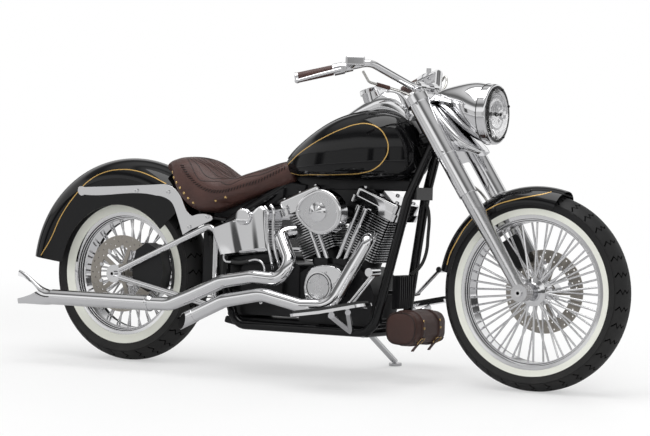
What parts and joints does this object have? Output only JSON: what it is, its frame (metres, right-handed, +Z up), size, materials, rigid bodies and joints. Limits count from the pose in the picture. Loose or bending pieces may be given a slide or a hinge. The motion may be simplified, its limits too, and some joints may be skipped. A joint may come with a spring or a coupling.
{
  "type": "cruiser motorcycle",
  "caption": "Black and chrome cruiser motorcycle with an open twin-cylinder engine, spoked wheels, leather seat and long exhausts, leaning on its side stand.",
  "frame": {"origin": "on the ground at the middle of the motorcycle's bounding box, parked on its side stand", "axes": "+X forwards, +Y to the rider's left, +Z up; the motorcycle leans 4 degrees to the left"},
  "size_m": [2.4798, 0.8738, 1.1579],
  "materials": {
    "black_paint": "gloss black paint",
    "chrome": "polished chrome",
    "disc_steel": "brushed",
    "tyre_rubber": "matte",
    "white_rubber": "matte",
    "black_rubber": "matte",
    "brown_leather": "satin",
    "caliper_black": "satin black",
    "clear_glass": "clear"
  },
  "bodies": {
    "chassis": {"rear_fender": "black_paint", "frame": "black_paint", "swingarm": "chrome", "rear_caliper": "caliper_black", "rear_axle": "chrome", "crankcase": "black_paint", "cylinder_front": "black_paint", "cylinder_rear": "black_paint", "rocker_cover_front": "chrome", "rocker_cover_rear": "chrome", "pushrod_tubes": "chrome", "cam_cover": "chrome", "gearbox": "black_paint", "primary_cover": "chrome", "air_cleaner": "chrome", "intake": "black_paint", "horn": "black_paint", "exhaust_rear": "chrome", "exhaust_front": "chrome", "oil_tank": "chrome", "fuel_tank": "black_paint", "tank_console": "chrome", "fender_struts": "chrome", "seat": "brown_leather", "tool_bag": "brown_leather", "footboards": "chrome", "footboard_pads": "black_rubber", "brake_pedal": "chrome", "shift_lever": "chrome", "drive_belt": "black_rubber", "regulator": "black_paint", "stand_bracket": "chrome"},
    "steering": {"fork_sliders": "chrome", "fork_covers": "chrome", "triple_clamps": "chrome", "headlight_shell": "chrome", "headlight_lens": "clear_glass", "headlight_cowl": "chrome", "handlebar": "chrome", "grips": "brown_leather", "hand_controls": "chrome", "brake_line": "black_rubber", "front_fender": "black_paint", "front_caliper": "caliper_black", "front_axle": "chrome"},
    "front_wheel": {"front_tyre": "tyre_rubber", "front_whitewalls": "white_rubber", "front_rim": "chrome", "front_hub": "chrome", "front_disc": "disc_steel"},
    "rear_wheel": {"rear_tyre": "tyre_rubber", "rear_whitewalls": "white_rubber", "rear_rim": "chrome", "rear_hub": "chrome", "rear_disc": "disc_steel"},
    "side_stand": {"side_stand": "chrome"}
  },
  "joints": [
    {"name": "steering_turn", "type": "hinge", "parent": "chassis", "child": "steering", "pos_m": [0.54789, -0.0191, 0.76962], "axis": [-0.5446, 0.0585, 0.8366], "range_deg": [-34, 34]},
    {"name": "front_wheel_spin", "type": "hinge", "parent": "steering", "child": "front_wheel", "pos_m": [0.89885, -0.04911, 0.3404], "axis": [0, 0.9976, -0.0698], "continuous": true},
    {"name": "rear_wheel_spin", "type": "hinge", "parent": "chassis", "child": "rear_wheel", "pos_m": [-0.80115, -0.04981, 0.33043], "axis": [0, 0.9976, -0.0698], "continuous": true},
    {"name": "side_stand_fold", "type": "hinge", "parent": "chassis", "child": "side_stand", "pos_m": [0.12886, 0.11019, 0.15283], "axis": [0.0554, 0.7162, 0.6957], "range_deg": [0, 103.7]}
  ]
}
